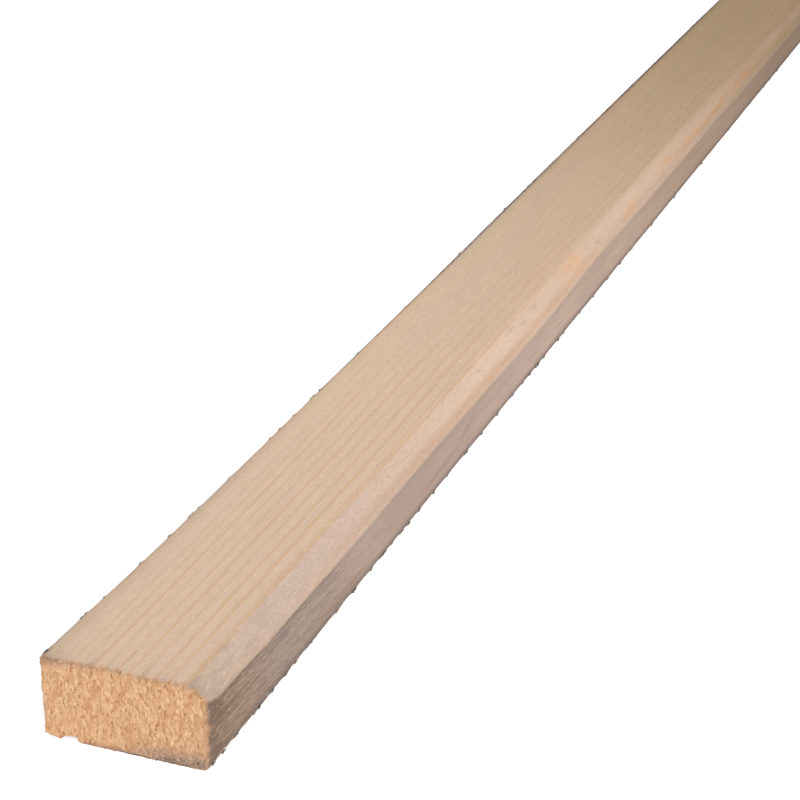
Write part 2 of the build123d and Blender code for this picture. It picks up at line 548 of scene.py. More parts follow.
# Darker torn wood on the right side just behind the front end: dark brown, partly painted shade.
side_grime_and_shade = pitted * np.exp(-s_grid / 4.0) * on_right
pit_grime = on_wane * strongest(WANE_PITS, s_grid, wane_place[None])
grimes_and_shades = [edge_grime_and_shade, corner_blot, rim_grime, side_grime_and_shade, pit_grime]
wall_marks["stain_and_shade"] = np.clip(np.max(grimes_and_shades, axis=0), 0, 1.2)
print("marks on the wall:", list(wall_marks))

# %% The dressed strip
marks = {}
for mark, values in wall_marks.items():
    extra = 1.0 if mark == "end" else 0.0
    marks[mark] = np.concatenate([values.reshape(-1), np.full(2 * inner.sum(), extra)])
on_end = (marks["end"] > 0.6) & (points[:, 0] < 1.0)
marks["stain_and_shade"][on_end] = end_stain(points[on_end, 1], points[on_end, 2])
strip = new_piece("dressed_strip", points, faces, marks, places, sharp=40)
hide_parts("furring_strip")
print("dressed strip:", len(strip.data.vertices), "points,", len(marks), "marks")

# %% [markdown]
# Materials in Blender are graphs of nodes, and most of their wires carry numbers to be multiplied
# and added. Small helpers keep the graphs readable: a node's output is wrapped as a Value, so
# `line * tone` adds a Math node and `fine.ramp(...)` a Map Range node. Other helpers mix two
# colours, and start a node group: a graph of its own with named inputs and outputs.

# %% A value that can be reckoned with


class Value:
    """A node's output that can be reckoned with: a * b, a / b, a + b and a - b add Math nodes."""

    def __init__(self, socket):
        self.socket, self.tree = socket, socket.id_data

    def math(self, operation, *others):
        """One Math node, fed with this value and any others."""
        return made_by(self.tree, "Math", dict(enumerate((self, *others))), operation=operation)

    def __mul__(self, other):
        return self.math("MULTIPLY", other)

    def __truediv__(self, other):
        return self.math("DIVIDE", other)

    def __add__(self, other):
        return self.math("ADD", other)

    def __sub__(self, other):
        return self.math("SUBTRACT", other)

    def ramp(self, start, finish, low=0, high=1):
        """Carried smoothly from low to high as this value goes from start to finish."""
        feeds = {0: self, 1: start, 2: finish, 3: low, 4: high}
        return made_by(self.tree, "MapRange", feeds, interpolation_type="SMOOTHSTEP")

    def mixed(self, share, other):
        """This value and another, mixed by a share."""
        return made_by(self.tree, "Mix", {0: share, 2: self, 3: other})


print("a value has:", [name for name in vars(Value) if "__" not in name])

# %% Helpers that add and feed nodes


def feed(node, feeds):
    """Feeds a node's inputs: a Value is linked, and anything else is set, a colour as opaque."""
    for key, value in feeds.items():
        socket = node.inputs[key]
        if isinstance(value, Value):
            node.id_data.links.new(value.socket, socket)
        else:
            socket.default_value = (*value, 1) if socket.type == "RGBA" else value


def add(tree, kind, feeds=None, **settings):
    """Adds a node, makes its settings and feeds its inputs."""
    made = tree.nodes.new("ShaderNode" + kind)
    for name, value in settings.items():
        setattr(made, name, value)
    feed(made, feeds or {})
    return made


def made_by(tree, kind, feeds=None, output=0, **settings):
    """Adds a node and returns one of its outputs."""
    return Value(add(tree, kind, feeds, **settings).outputs[output])


print("node helpers ready")

# %% Helpers for colours and places


def blend(share, first, second, way="MIX"):
    """Two colours mixed by a share."""
    feeds = {0: share, 6: first, 7: second}
    return made_by(share.tree, "Mix", feeds, 2, data_type="RGBA", blend_type=way)


def lay(color, *tints):
    """Lays tints over a colour in turn, each given as its share, its red, green and blue."""
    for share, *tint in tints:
        color = blend(share, color, tint)
    return color


def axes(place):
    """The place's x, y and z."""
    return [Value(socket) for socket in add(place.tree, "SeparateXYZ", {0: place}).outputs]


def moved(place, **feeds):
    """The place moved, turned or scaled by a Mapping node."""
    return made_by(place.tree, "Mapping", {"Vector": place, **feeds})


print("colour and place helpers ready")

# %% Helpers for groups


def new_group(name, inputs, outputs):
    """A shader node group with these sockets, followed by each of its inputs."""
    tree = bpy.data.node_groups.new(name, "ShaderNodeTree")
    kinds = {"F": "NodeSocketFloat", "V": "NodeSocketVector", "C": "NodeSocketColor"}
    for way, sockets in (("INPUT", inputs), ("OUTPUT", outputs)):
        for socket, kind in sockets.items():
            tree.interface.new_socket(name=socket, in_out=way, socket_type=kinds[kind])
    taken = tree.nodes.new("NodeGroupInput").outputs
    return tree, *(Value(taken[key]) for key in inputs)


def put_out(group, **values):
    """Feeds a group's outputs, with _ for a space in their names."""
    given = {key.replace("_", " "): value for key, value in values.items()}
    feed(group.nodes.new("NodeGroupOutput"), given)
    print("group:", group.name, len(group.nodes), "nodes")


def use(group, place, **feeds):
    """Places a group in the graph that the place comes from, and returns its outputs by name."""
    made = add(place.tree, "Group", {"Place": place, **feeds}, node_tree=group)
    return {socket.name: Value(socket) for socket in made.outputs}


print("group helpers ready")

# %% [markdown]
# Wood is a bundle of fibres that run along the strip, so almost all of its detail is drawn out
# lengthwise. The first group is that one effect: noise, squeezed across and stretched along.

# %% Group: fibre streaks
streaks, place, long, wide, detail = new_group(
    "fibre_streaks", {"Place": "V", "Length": "F", "Width": "F", "Detail": "F"}, {"Streak": "F"})
x, y, z = axes(place)
squeezed = made_by(streaks, "CombineXYZ", {0: x / long, 1: y / wide, 2: z / wide})
noise = {"Vector": squeezed, "Scale": 1, "Detail": detail, "Roughness": 0.6}
put_out(streaks, Streak=made_by(streaks, "TexNoise", noise, "Fac"))


def grain(place, length, width, detail):
    """Fibre streaks about this long and wide, in mm."""
    return use(streaks, place, Length=length, Width=width, Detail=detail)["Streak"]


# %% [markdown]
# Each year the tree lays down a pale ring of early wood and then a thin amber ring of late wood.
# The rings are circles round the pith, which lay outside this strip, down on its left. Cutting
# solid circles with the faces gives lines that agree from the top to the end, as no flat picture
# would. Ring widths grow outwards, so the ring's number is found from the radius by solving
# radius = 74.98 + 1.062 k + 0.065 k^2. The pith wanders along the log, which makes the lines drift.

# %% Group: growth rings
PITH_Y, PITH_Z = 47, -47
RING_START, RING_WIDTH, RING_GROWTH = 74.98, 1.062, 0.065
FIRST_RING = 100.87
rings_group, place = new_group(
    "growth_rings", {"Place": "V"}, {"Late wood": "F", "Fraction": "F", "Ring tone": "F"})
x, y, z = axes(place)
along = made_by(rings_group, "CombineXYZ", {0: x})
wander, far_wander = (
    made_by(rings_group, "TexNoise", {"Vector": along, "Scale": scale, "Detail": detail}, "Fac")
    for scale, detail in ((0.011, 2), (0.0032, 0)))
ripple = grain(place, 30, 9, 2)
drift = (x.ramp(205, 350, 0, -3.7) + x.ramp(115, 185, 0, 0.8)
         + (wander - 0.5) * x.ramp(90, 260, 0.3, 1.6)
         + (ripple - 0.5) * x.ramp(80, 220, 0.5, 1.2)
         + (far_wander - 0.5) * x.ramp(500, 1000, 0, 26))
from_pith_y, from_pith_z = y - drift - PITH_Y, z - PITH_Z
radius = (from_pith_y * from_pith_y + from_pith_z * from_pith_z).math("SQRT")
beyond = radius - RING_START
root = beyond.math("MAXIMUM", 0).math("MULTIPLY_ADD", 4 * RING_GROWTH, RING_WIDTH**2).math("SQRT")
number = (root - RING_WIDTH) / (2 * RING_GROWTH) + beyond.math("MINIMUM", 0) / RING_WIDTH
number = number + FIRST_RING
fraction = number.math("FRACT")
late = fraction.ramp(0.44, 0.82) * fraction.ramp(0.84, 1, 1, 0)
tone = made_by(rings_group, "TexWhiteNoise", {"W": number.math("FLOOR")}, "Value",
               noise_dimensions="1D")
tone = tone.ramp(0, 1, 0.6, 1) * radius.ramp(72.5, 76, 0.15, 1)
put_out(rings_group, Late_wood=late, Fraction=fraction, Ring_tone=tone)

# %% [markdown]
# Bare softwood tans in daylight. The front of this strip is fresh and pale, and from about a hand's
# breadth on it goes slowly tan. Every long face needs that, so it is a group that multiplies a
# colour.

# %% Group: tanning
tanning, place, start, color = new_group(
    "tanning", {"Place": "V", "Start": "F", "Color": "C"}, {"Color": "C"})
x = axes(place)[0]
uneven = grain(place, 140, 12, 2).ramp(0.25, 0.75, 0.86, 1.1)
amount = x.ramp(start, 660) * uneven * x.ramp(700, 1500, 1, 0.7)
put_out(tanning, Color=blend(amount, color, (0.81, 0.755, 0.6), "MULTIPLY"))

# %% [markdown]
# Dirt gathers on the worn arrises and in the torn wood round the end, and the same darkening is
# also
# painted shade: along the lower arris where the strip meets the floor, and on the torn side just
# behind the front end. It is mixed over any finish by the same group: streaky, darkest where the
# mark on the points says so.

# %% Group: grime and painted shade
grime_and_shade, place, amount, color = new_group(
    "grime_and_shade", {"Place": "V", "Amount": "F", "Color": "C"}, {"Color": "C"})
amount = amount * grain(place, 2.4, 0.7, 3).ramp(0.3, 0.62, 0.45, 1.15)
# dirt colour, which also paints shade where the marks call for it
dirt_and_shade = blend(amount.ramp(0.8, 1.25), (0.2, 0.146, 0.122), (0.055, 0.038, 0.03))
put_out(grime_and_shade, Color=blend(amount.math("MINIMUM", 1), color, dirt_and_shade))

# %% [markdown]
# The planed face is pale cream early wood with soft amber lines. Under them lie fine fibre streaks,
# broad pinkish patches from drying, short pores, and small torn flecks whose brightness is partly a
# painted glint.

# %% Group: planed face
LOOK = {"Color": "C", "Roughness": "F", "Height": "F"}
planed, place = new_group("planed_face", {"Place": "V"}, LOOK)
x, y, z = axes(place)
growth = use(rings_group, place)
fine, pore = grain(place, 14, 0.45, 3), grain(place, 1.5, 0.3, 2)
broad, cloud = grain(place, 120, 9, 2), grain(place, 7, 2.5, 2)
fleck_and_glint, stripe = grain(place, 2, 0.45, 2), grain(place, 55, 2.2, 2)
fraction = growth["Fraction"]
soft_line = fraction.ramp(0.15, 0.8) * fraction.ramp(0.8, 1, 0.75, 0)
line = growth["Late wood"].mixed(x.ramp(105, 250), soft_line) * growth["Ring tone"]
bare = x.ramp(105, 250, 0, 0.8) * y.ramp(-4, 8) * -1 + 1
line = line * fine.ramp(0.25, 0.75, 0.7, 1.1) * bare * x.ramp(130, 300, 1, 0.6)
later = x.ramp(120, 300)
color = lay(
    blend(broad.ramp(0.3, 0.7), (0.68, 0.505, 0.357), (0.65, 0.483, 0.364)),
    (stripe.ramp(0.5, 0.7, 0, 0.52) * later, 0.7, 0.475, 0.345),
    (stripe.ramp(0.48, 0.3, 0, 0.52) * later, 0.565, 0.455, 0.33),
    (line, 0.64, 0.402, 0.235),
    (fine.ramp(0.2, 0.8, 0, 0.14), 0.47, 0.33, 0.23),
    (cloud.ramp(0.35, 0.7, 0, 0.1), 0.48, 0.34, 0.25),
    (pore.ramp(0.4, 0.7, 0, 0.22), 0.38, 0.27, 0.2),
    # small torn flecks: pale torn fibres with a painted glint, stronger beyond 130 mm
    (fleck_and_glint.ramp(0.59, 0.72) * x.ramp(130, 220, 0.42, 0.8), 0.77, 0.61, 0.46))
edge_shade = y.ramp(14, 17.5) * x.ramp(100, 170, 0.85, 0.45)
color = blend(edge_shade, color, (0.87, 0.85, 0.83), "MULTIPLY")
color = use(tanning, place, Start=95, Color=color)["Color"]
height = fine * 0.05 + line * 0.02 - pore * 0.04 + fleck_and_glint.ramp(0.6, 0.75) * 0.03
put_out(planed, Color=color, Roughness=fine.ramp(0.2, 0.8, 0.52, 0.68), Height=height)

# %% [markdown]
# The wane shows the wood just under the bark: smoother, pinker, without ring lines, and speckled.
# An amber line with torn bright spots, partly painted highlights, runs along its upper edge. The
# warm mark lays peach and orange streaks on it, and at the arris it ends in a broken pale lip.

# %% Group: log surface
FACE = {"Place": "V", "Down": "F", "Warm": "F"}
log_face, place, down, warm = new_group("log_surface", FACE, LOOK)
x = axes(place)[0]
fine, patch = grain(place, 9, 0.6, 3), grain(place, 34, 3, 3)
dapple, mottle = grain(place, 7, 1.8, 3), grain(place, 1.6, 0.5, 3)
speck, torn = grain(place, 1.7, 0.55, 1), grain(place, 2.6, 0.5, 2)
near_look = lay(
    blend(x.ramp(4, 45), (0.475, 0.355, 0.262), (0.48, 0.359, 0.292)),
    (dapple.ramp(0.42, 0.6) * x.ramp(8, 40, 0.56, 0.26), 0.335, 0.255, 0.2))
color = blend(patch.ramp(0.3, 0.7), (0.59, 0.425, 0.312), (0.555, 0.4, 0.3))
color = blend(x.ramp(20, 200, 1, 0), color, near_look)
warm_color = blend(x.ramp(250, 280), (0.55, 0.325, 0.19), (0.64, 0.35, 0.17))
color = blend(warm * patch.ramp(0.3, 0.6, 0.5, 1) * 0.9, color, warm_color)
lip = down.ramp(0.86, 0.97) * torn.ramp(0.42, 0.6, 0, 0.75) * x.ramp(25, 70)
amber = (down + 0.02).math("ABSOLUTE").ramp(0.01, 0.085, 1, 0)
amber = amber * fine.ramp(0.2, 0.7, 0.4, 1) * x.ramp(180, 300, 1, 0.35) * 0.9
# share of the torn bright spots, which are partly painted highlights, most along the wane's upper
# edge
shred = down.math("ABSOLUTE").ramp(0.1, 0.3, 0.3, 0.08) + x.ramp(60, 150, 0, 0.12)
color = lay(
    color,
    (lip, 0.62, 0.49, 0.39),
    (amber, 0.54, 0.325, 0.155),
    # torn bright spots: pale torn wood, partly painted highlights
    (torn.ramp(0.6, 0.72) * shred, 0.74, 0.59, 0.45),
    (mottle.ramp(0.35, 0.65) * x.ramp(20, 300, 0.34, 0.24), 0.36, 0.26, 0.205),
    (speck.ramp(0.68, 0.76, 0, 0.5), 0.22, 0.15, 0.115),
    (mottle.ramp(0.48, 0.32) * x.ramp(12, 60, 0.14, 0.08), 0.66, 0.55, 0.45),
    (down.ramp(0.45, 0.75) * x.ramp(45, 100, 0, 0.16), 0.2, 0.14, 0.11),
    (fine.ramp(0.25, 0.75, 0, 0.1), 0.42, 0.29, 0.22),
    (x.ramp(360, 560, 0, 0.1), 0.27, 0.15, 0.07))
color = use(tanning, place, Start=300, Color=color)["Color"]
height = fine * 0.08 + patch * 0.12 + mottle * 0.1 - 0.13 - speck.ramp(0.68, 0.76, 0, 0.07)
put_out(log_face, Color=color, Roughness=patch.ramp(0.2, 0.8, 0.5, 0.66), Height=height)

# %% [markdown]
# A sawn side has a nap of torn fibres that catches dirt: brown at the front end and darker still
# over its first centimetre, which is partly painted shade, then grey, then mauve. Long light and
# dark strands lie side by side, a little aslant, because the saw dragged them. A dark line follows
# the arris under the wane, and the foot of the side is darker too, partly painted shade where it
# meets the floor.

# %% Group: sawn face
DRAG_SLOPE, HAIR_SLOPE = math.radians(3), math.radians(14)
sawn_face, place, down, warm = new_group("sawn_face", FACE, LOOK)
x, y, z = axes(place)
slanted, dragged = (moved(place, Rotation=(0, -slope, 0)) for slope in (DRAG_SLOPE, HAIR_SLOPE))
strand, shred = grain(slanted, 24, 0.42, 4), grain(slanted, 10, 0.3, 2)
clump, hair = grain(slanted, 24, 1.6, 3), grain(dragged, 3.2, 0.26, 2)
long_strand, patch = grain(place, 60, 1.6, 3), grain(place, 70, 7, 2)
mauve = lay(
    blend(patch.ramp(0.35, 0.65), (0.368, 0.262, 0.212), (0.404, 0.293, 0.234)),
    (strand.ramp(0.46, 0.66, 0, 0.34), 0.265, 0.19, 0.15),
    (long_strand.ramp(0.4, 0.75, 0, 0.3), 0.32, 0.215, 0.165),
    (shred.ramp(0.42, 0.66, 0, 0.3), 0.47, 0.37, 0.29))
grey = lay(
    blend(strand.ramp(0.4, 0.6), (0.205, 0.145, 0.115), (0.385, 0.3, 0.245)),
    (clump.ramp(0.4, 0.65, 0, 0.45), 0.37, 0.285, 0.235))
brown = lay(
    blend(strand.ramp(0.4, 0.56), (0.125, 0.062, 0.03), (0.355, 0.215, 0.132)),
    (clump.ramp(0.5, 0.7, 0, 0.35), 0.29, 0.185, 0.125))
rough_wood = lay(
    blend(x.ramp(7, 44, 1, 0), grey, brown),
    (hair.ramp(0.55, 0.67, 0, 0.5) * x.ramp(2, 18, 0.45, 1), 0.56, 0.455, 0.37),
    (shred.ramp(0.3, 0.42, 0.45, 0), 0.1, 0.062, 0.043))
torn = x.ramp(30, 140, 1, 0)
under = down.ramp(1, 1.06) * down.ramp(1.1, 1.4, 1, 0) * x.ramp(20, 110, 0.6, 0.12)
color = lay(
    blend(torn * clump.ramp(0.2, 0.7, 1, 0.8), mauve, rough_wood),
    (under * strand.ramp(0.3, 0.6, 1, 0.5), 0.12, 0.08, 0.06),
    (warm * strand.ramp(0.3, 0.6, 0.9, 0.5), 0.25, 0.14, 0.09),
    # darker towards the foot: partly painted shade where the side meets the floor
    (z.ramp(0.6, 3.4, 0.8, 0), 0.1, 0.07, 0.055),
    (x.ramp(85, 120) * x.ramp(140, 240, 0.3, 0), 0.19, 0.13, 0.105),
    # dark brown over the first 14 mm, partly painted shade next to the front end
    (x.ramp(1, 14, 0.68, 0), 0.125, 0.062, 0.032),
    (x.ramp(55, 112, 0.16, 0), 0.1, 0.07, 0.05),
    (x.ramp(430, 550, 0, 0.09), 0.1, 0.09, 0.19),
    (x.ramp(330, 395, 0, 0.09) * x.ramp(430, 490, 1, 0.2), 0.26, 0.1, 0.04))
color = use(tanning, place, Start=220, Color=color)["Color"]
height = ((strand - 0.5) * torn.ramp(0, 1, 0.16, 0.3) + (clump - 0.5) * torn.ramp(0, 1, 0.1, 0.28)
          + (shred - 0.5) * torn.ramp(0, 1, 0.06, 0.2) + (long_strand - 0.5) * 0.12)
put_out(sawn_face, Color=color, Roughness=strand.ramp(0.3, 0.7, 0.7, 0.9), Height=height)

# %% [markdown]
# End grain is the cut ends of thousands of fibres: orange, crumbly, with light flecks where a
# bundle broke off, partly painted highlights on the crumbs, and darker pits between them. The saw
# dragged the crumbs aslant, so the pattern is turned and drawn out that way. The rings show only
# faintly.

# %% Group: end grain
CRUMB_SLANT = math.radians(36)
end_grain, place = new_group("end_grain", {"Place": "V"}, LOOK)
slanted = moved(place, Rotation=(-CRUMB_SLANT, 0, 0), Scale=(1, 1, 0.52))
crumb_and_glint, pit = grain(slanted, 1, 0.54, 2), grain(slanted, 1.5, 0.66, 2)
cloud = grain(slanted, 3, 1.7, 3)
color = lay(
    blend(cloud.ramp(0.35, 0.65), (0.48, 0.252, 0.118), (0.595, 0.366, 0.205)),
    # light crumb flecks: pale broken bundles, partly painted highlights
    (crumb_and_glint.ramp(0.5, 0.7, 0, 0.45), 0.78, 0.565, 0.365),
    (pit.ramp(0.32, 0.44, 0.85, 0), 0.33, 0.135, 0.05),
    (use(rings_group, place)["Late wood"] * 0.12, 0.4, 0.2, 0.09))
height = (crumb_and_glint - 0.5) * 0.28 + (pit - 0.5) * 0.28
put_out(end_grain, Color=color, Roughness=crumb_and_glint.ramp(0.3, 0.7, 0.75, 0.9), Height=height)

# %% [markdown]
# The strip's material looks up the place in mm from the front end, draws all four looks, lets the
# marks choose between them and lays the grime over. The Principled shader stays here, outside the
# groups.

# %% Material: the strip


def start_material(piece, name):
    """Gives a piece a material: its Principled shader, and the place in mm from the front end."""
    material = bpy.data.materials.new(name)
    material.use_nodes = True
    tree = material.node_tree
    tree.nodes.clear()
    shader = add(tree, "BsdfPrincipled")
    add(tree, "OutputMaterial", {"Surface": Value(shader.outputs[0])})
    piece.data.materials.append(material)
    return shader, moved(made_by(tree, "TexCoord", output="Object"),
                         Location=(LENGTH / 2, 0, 0), Scale=(1000, 1000, 1000))


def mark_of(tree, name):
    """The value of one of the marks on the points."""
    return made_by(tree, "Attribute", output="Fac", attribute_name=name)


shader, place = start_material(strip, "strip_wood")
tree = place.tree
side_marks = {"Down": mark_of(tree, "down"), "Warm": mark_of(tree, "warm")}
look = use(planed, place)
color, rough, height = look["Color"], look["Roughness"], look["Height"]
for mark, look in (("wane", use(log_face, place, **side_marks)),
                   ("rough", use(sawn_face, place, **side_marks)),
                   ("end", use(end_grain, place))):
    share = mark_of(tree, mark)
    color = blend(share, color, look["Color"])
    rough = rough.mixed(share, look["Roughness"])
    height = height.mixed(share, look["Height"])
color = use(grime_and_shade, place, Amount=mark_of(tree, "stain_and_shade"), Color=color)["Color"]
bump = made_by(tree, "Bump", {"Height": height, "Distance": 0.001, "Strength": 1})
feed(shader, {"Base Color": color, "Roughness": rough, "Normal": bump, "Specular IOR Level": 0.25})
print("material:", strip.data.materials[0].name, len(tree.nodes), "nodes")

# %% [markdown]
# Sawing leaves fibres standing: a fringe along the arrises, a nap on the torn side, and crumbs of
# orange wood round the front end's rim. Hair particles could do it, but they don't export, so each
# fibre is a thin three-sided spike, and all of a kind are worked out together as one mesh.

# %% Spikes for torn fibres
SPIKE_STEPS = np.array([0.0, 0.35, 0.7])


def spikes(root, lead, curl, length, thick):
    """Tapering three-sided spikes: centre = root + lead * length * t + curl * t^2, and the
    half thickness falls as (1 - t)^0.7, to a point at t = 1. Returns points and triangles.
    """
    lead = lead / np.linalg.norm(lead, axis=1, keepdims=True)
    side = np.cross(lead, [0.31, 0.52, 0.79])
    side /= np.linalg.norm(side, axis=1, keepdims=True)
    over = np.cross(lead, side)
    t = SPIKE_STEPS[None, :, None]
    centre = root[:, None] + lead[:, None] * length[:, None, None] * t + curl[:, None] * t**2
    half = (thick[:, None] * 0.5 * (1 - SPIKE_STEPS) ** 0.7)[..., None, None]
    angle = np.arange(3) * 2 * np.pi / 3
    ring = np.cos(angle)[:, None] * side[:, None, None]
    ring = ring + np.sin(angle)[:, None] * over[:, None, None]
    body = (centre[:, :, None] + half * ring).reshape(len(root), -1, 3)
    tip = root + lead * length[:, None] + curl
    points = np.concatenate([body, tip[:, None]], axis=1)
    quads = [(3 * k + a, 3 * k + (a + 1) % 3, 3 * k + 3 + (a + 1) % 3, 3 * k + 3 + a)
             for k in (0, 1) for a in range(3)]
    triangles = [tri for a, b, c, d in quads for tri in ((a, b, c), (a, c, d))]
    triangles += [(6 + a, 6 + (a + 1) % 3, 9) for a in range(3)] + [(2, 1, 0)]
    faces = np.array(triangles)[None] + 10 * np.arange(len(root))[:, None, None]
    return points.reshape(-1, 3), faces.reshape(-1, 3)


one_spike = spikes(np.zeros((1, 3)), np.eye(3)[:1], np.zeros((1, 3)), np.ones(1), np.ones(1))
SPIKE_FACES = len(one_spike[1])
print("triangles in a spike:", SPIKE_FACES)

# %% Where a fibre stands
draw = np.random.default_rng(21)


def in_box(points):
    """Keeps points within the strip's box, so a fibre bends along it rather than out of it."""
    half = WIDTH / 2
    return np.clip(points, [0.0, -half, 0.0], [LENGTH, half, THICKNESS])


def surface_at(s, around):
    """Point of the worn surface and the way out, s mm along and at a place round the outline."""
    i = np.clip(np.searchsorted(stations, s), 1, rings - 1)
    j = np.asarray(around).astype(int) % ROUND
    share = ((s - stations[i - 1]) / (stations[i] - stations[i - 1]))[:, None]
    return body[i - 1, j] * (1 - share) + body[i, j] * share, way_out[i, j]


left_middle = surface_at(np.array([LENGTH / 2]), starts["left"] + STRETCHES["left"] // 2)[0]
print("middle of the left side, mm:", left_middle.round(1))

# %% [markdown]
# The photographed edges show single tufts at known places and a fine fringe between them. The tufts
# are listed by their distance from the front end; beyond what the photograph shows, places are
# drawn at random. A fibre slants along the grain and away from the edge.

# %% Fringe along the arrises
TOP_LEFT_TUFTS = (2.6, 3.2, 18, 20, 28, 45, 59, 70, 72, 75, 92, 117, 123, 132, 144, 146, 150, 178,
                  216, 266, 313, 339, 402)
LOWER_RIGHT_TUFTS = (3, 8, 15, 24, 26, 33, 40, 47, 56, 71, 81, 83, 93, 100, 102, 107, 115, 119, 127,
                     138, 150, 165, 178, 192, 206, 216, 223, 229, 232, 237, 252, 258, 277, 292, 309,
                     325, 340, 368, 402, 446, 495)
TUFT = 8
SEEN_LENGTH, FAR_TUFTS = 560, 60


def fringe(tufts, around, spread, fine_count, tuft_size, tuft_thickness):
    """Roots, leads, curls, lengths and thicknesses for tufts and for the fine fringe between."""
    tufts = np.concatenate([tufts, draw.uniform(SEEN_LENGTH, LENGTH - 3, FAR_TUFTS)])
    s = np.concatenate([np.repeat(tufts, TUFT) + draw.normal(0, 0.4, TUFT * len(tufts)),
                        LENGTH * draw.random(fine_count) ** 1.6])
    s = np.clip(s, 0.4, LENGTH - 0.4)
    big = np.arange(len(s)) < TUFT * len(tufts)
    root, out = surface_at(s, around + draw.integers(-spread, spread + 1, len(s)))
    lead = out * draw.uniform(0.25, 1.0, len(s))[:, None]
    lead[:, 0] += draw.normal(0.5, 0.8, len(s))
    length = np.where(big, draw.uniform(0.5, 1.0, len(s)) * tuft_size,
                      draw.uniform(0.25, 0.7, len(s)))
    thick = np.where(big, draw.uniform(0.4, 1.0, len(s)) * tuft_thickness,
                     draw.uniform(0.08, 0.22, len(s)))
    curl = draw.normal(0, 0.12, (len(s), 3)) * length[:, None]
    return root - out * 0.1, lead, curl, length, thick


fringes = [
    fringe(TOP_LEFT_TUFTS, starts["top_left"] + 4, 2, 1300, 1.3, 0.42),
    fringe(LOWER_RIGHT_TUFTS, 0, 3, 1500, 1.9, 0.7),
    fringe((9.0, 33.0), starts["back_left"] + 4, 3, 500, 1.0, 0.5),
]
points_f, faces_f = spikes(*(np.concatenate(column) for column in zip(*fringes)))
fringe_piece = new_piece("arris_fringe", in_box(points_f), faces_f)
print("fringe fibres:", len(faces_f) // SPIKE_FACES)

# %% Nap on the torn side
NAP_COUNT, NAP_START, NAP_REACH, NAP_LIMIT = 900, 0.6, 38, 400
NAP_PLACES = STRETCHES["right"] + STRETCHES["rubbed_a"]
s = np.clip(draw.exponential(NAP_REACH, NAP_COUNT) + NAP_START, NAP_START, NAP_LIMIT)
root, out = surface_at(s, starts["right"] + draw.integers(0, NAP_PLACES, NAP_COUNT))
lead = out * draw.uniform(0.0, 0.07, NAP_COUNT)[:, None]
lead[:, 0] += np.where(draw.random(NAP_COUNT) < 0.75, 1, -1)
lead[:, 2] += draw.normal(-0.10, 0.07, NAP_COUNT)
length = draw.uniform(1.0, 4.4, NAP_COUNT)
curl = draw.normal(0, 0.02, (NAP_COUNT, 3)) * length[:, None]
nap = spikes(root - out * 0.05, lead, curl, length, draw.uniform(0.09, 0.21, NAP_COUNT))
nap_piece = new_piece("side_nap", in_box(nap[0]), nap[1])
print("nap fibres:", NAP_COUNT)

# %% Crumbs of torn wood round the front rim
RIM_COUNT = 440
rim_around = draw.integers(starts["back"] + 2, starts["right"] + 30, RIM_COUNT)
s = draw.uniform(0.1, 1.6, RIM_COUNT)
root, out = surface_at(s, rim_around)
lead = out * draw.uniform(0.0, 0.18, RIM_COUNT)[:, None]
lead[:, 0] -= draw.uniform(0.3, 1.0, RIM_COUNT)
lead[:, 1:] += draw.normal(0, 0.3, (RIM_COUNT, 2)) * (1 - np.abs(out[:, 1:]))
length = draw.uniform(0.4, 1.5, RIM_COUNT)
curl = draw.normal(0, 0.06, (RIM_COUNT, 3)) * length[:, None]
crumbs = spikes(root - out * 0.04, lead, curl, length, draw.uniform(0.10, 0.24, RIM_COUNT))
whole = crumbs[0].reshape(RIM_COUNT, -1, 3)
whole += np.maximum([0.02, -WIDTH / 2, 0] - whole.min(axis=1, keepdims=True), 0)
whole -= np.maximum(whole.max(axis=1, keepdims=True) - [LENGTH, WIDTH / 2, THICKNESS], 0)
rim_piece = new_piece("rim_crumbs", whole.reshape(-1, 3), crumbs[1])
print("rim crumbs:", RIM_COUNT)

# %% [markdown]
# One loose dark-red splinter lies on the planed face near the front end. It is a flat thin sliver,
# a little bent, so it is drawn as a profile carried along a path: five sides, thick in the middle.

# %% The loose splinter
SPLINTER_START, SPLINTER_END = (1.0, 1.75), (10.4, 1.0)
HOOK = 0.4


def sliver(start, finish, thickness, bend):
    """A closed sliver on the top face: half width = thickness * (0.4 + 0.6 t) * sin(pi t)^0.6."""
    t = np.linspace(0, 1, 15)
    s = start[0] + (finish[0] - start[0]) * t
    y = start[1] + (finish[1] - start[1]) * t + bend * np.sin(np.pi * t) + HOOK * t**12
    angle = np.arange(5) * 2 * np.pi / 5
    size = 0.02 + thickness * (0.4 + 0.6 * t) * np.sin(np.pi * t) ** 0.6
    ring_y = y[:, None] + size[:, None] * np.cos(angle)
    ring_z = THICKNESS - 0.02 - 0.45 * size[:, None] * (1 - np.sin(angle))
    ring = np.stack([np.broadcast_to(s[:, None], ring_y.shape), ring_y, ring_z], axis=-1)
    tips = np.stack([ring[0].mean(axis=0), ring[-1].mean(axis=0)])
    points = np.concatenate([ring.reshape(-1, 3), tips])
    quads = wall_faces(len(t), 5)
    triangles = np.concatenate([quads[:, [0, 1, 2]], quads[:, [0, 2, 3]]])
    k, last = np.arange(5), (len(t) - 1) * 5
    first_tip = np.stack([k, 0 * k + len(points) - 2, (k + 1) % 5], axis=-1)
    last_tip = np.stack([last + k, last + (k + 1) % 5, 0 * k + len(points) - 1], axis=-1)
    return points, np.concatenate([triangles, first_tip, last_tip])


sliver_points, sliver_faces = sliver(SPLINTER_START, SPLINTER_END, 0.22, -0.06)
splinter = new_piece("loose_splinter", in_box(sliver_points), sliver_faces)
print("splinter triangles:", len(sliver_faces))

# %% [markdown]
# Loose fibres use the same streak group as the strip, each kind with its own colours: dirty brown
# on the arrises and the torn side, fresh orange round the rim, dark red for the splinter.

# %% Materials: fibres


